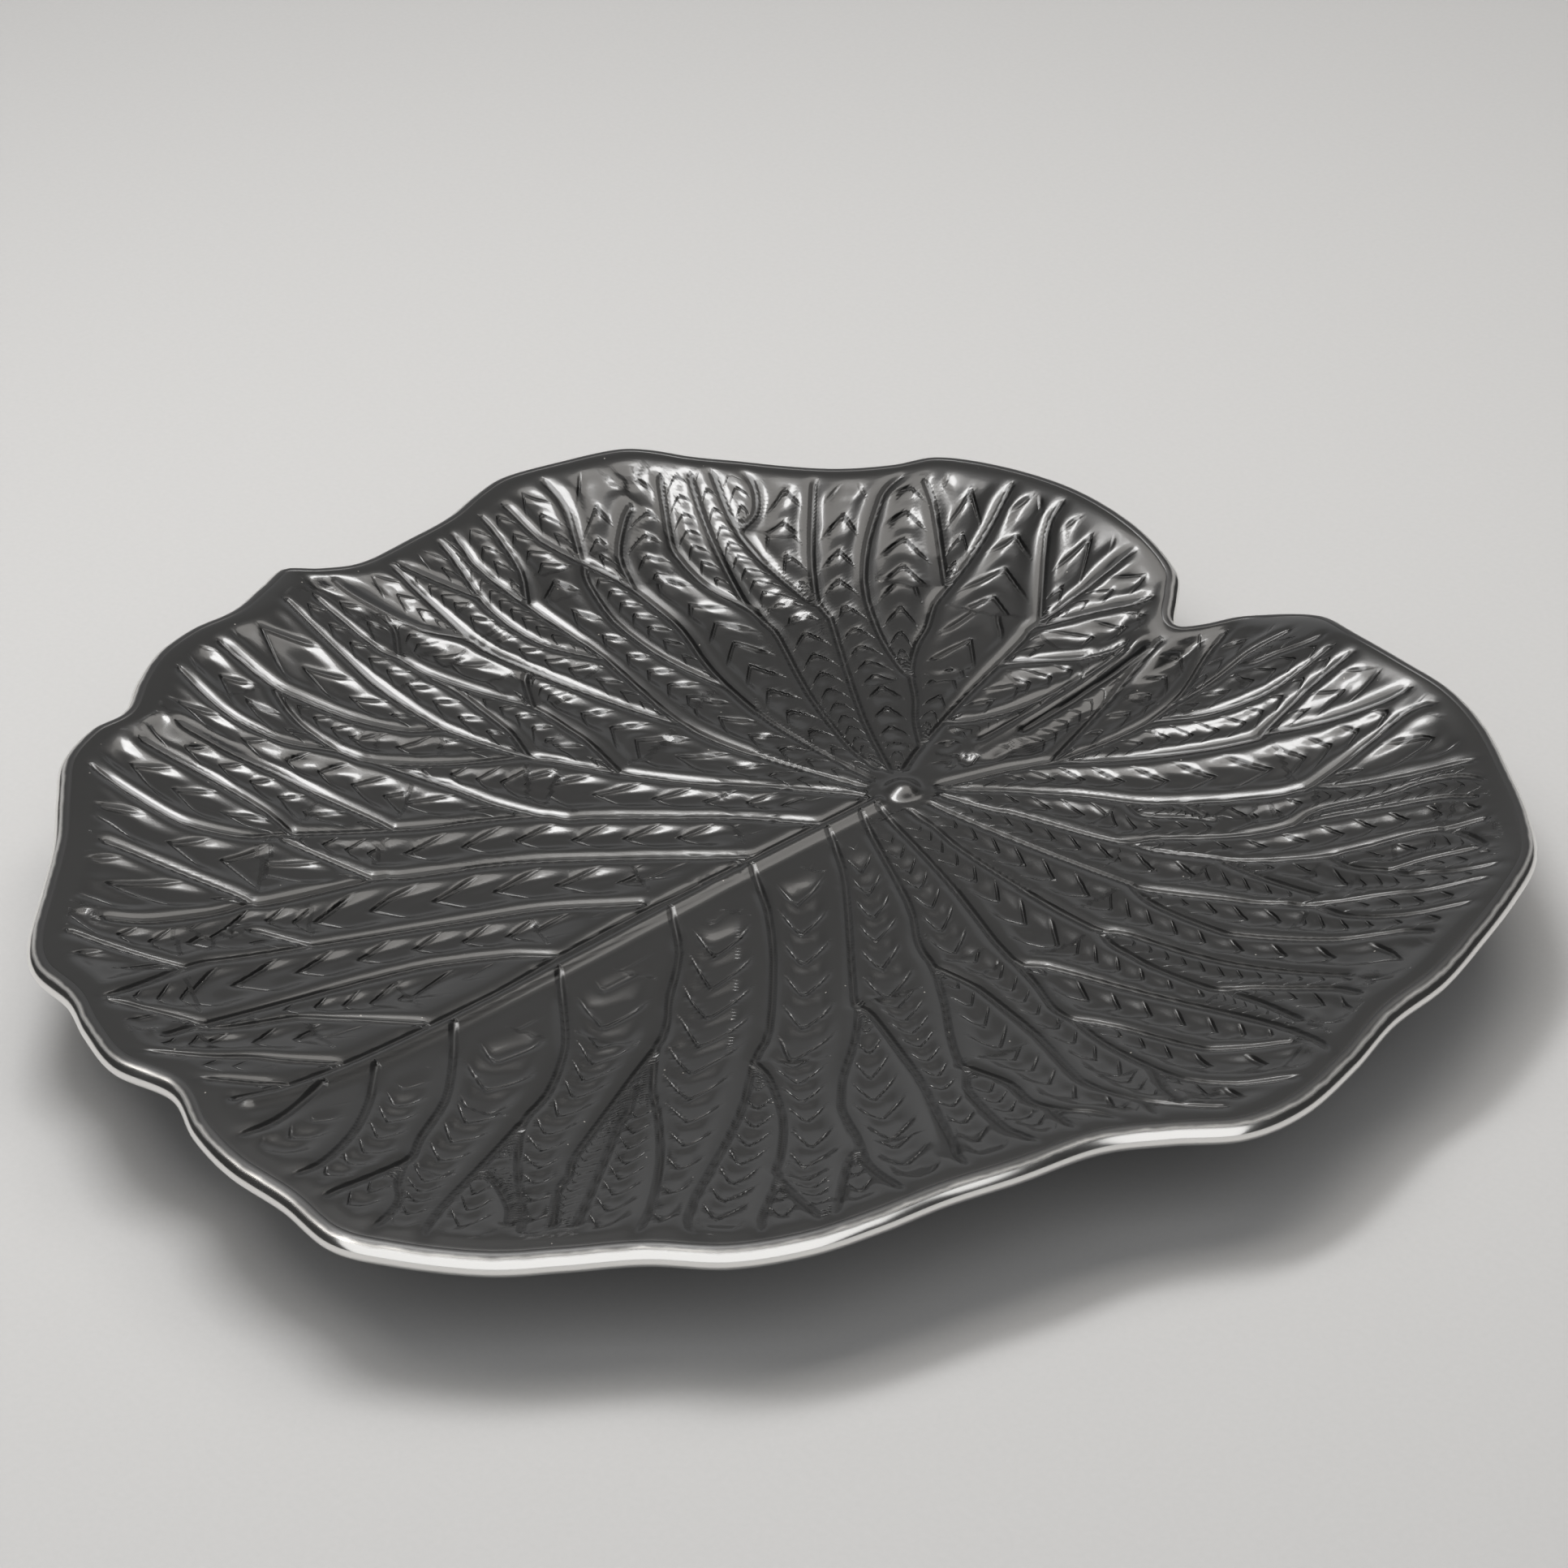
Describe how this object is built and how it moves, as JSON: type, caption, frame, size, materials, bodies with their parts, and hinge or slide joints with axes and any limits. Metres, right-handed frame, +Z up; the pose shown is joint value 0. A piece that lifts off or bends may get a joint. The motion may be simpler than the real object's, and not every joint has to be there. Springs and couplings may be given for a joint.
{
  "type": "leaf shaped plate",
  "caption": "Shallow leaf shaped serving plate with raised veins and midrib, a silvered lip and a raised foot.",
  "frame": {"origin": "on the table, under the middle of the plate's outline", "axes": "+Z up, -Y towards the leaf's tip, +Y towards the notch"},
  "size_m": [0.3032, 0.3148, 0.0292],
  "materials": {
    "charcoal_glaze": "semi-gloss charcoal glaze",
    "silver_lustre": "fired silver lustre, mirror bright",
    "foot_glaze": "charcoal glaze, satin"
  },
  "bodies": {
    "root": {"leaf_dish": "charcoal_glaze", "rim_lustre": "silver_lustre", "foot_ring": "foot_glaze"}
  },
  "joints": []
}
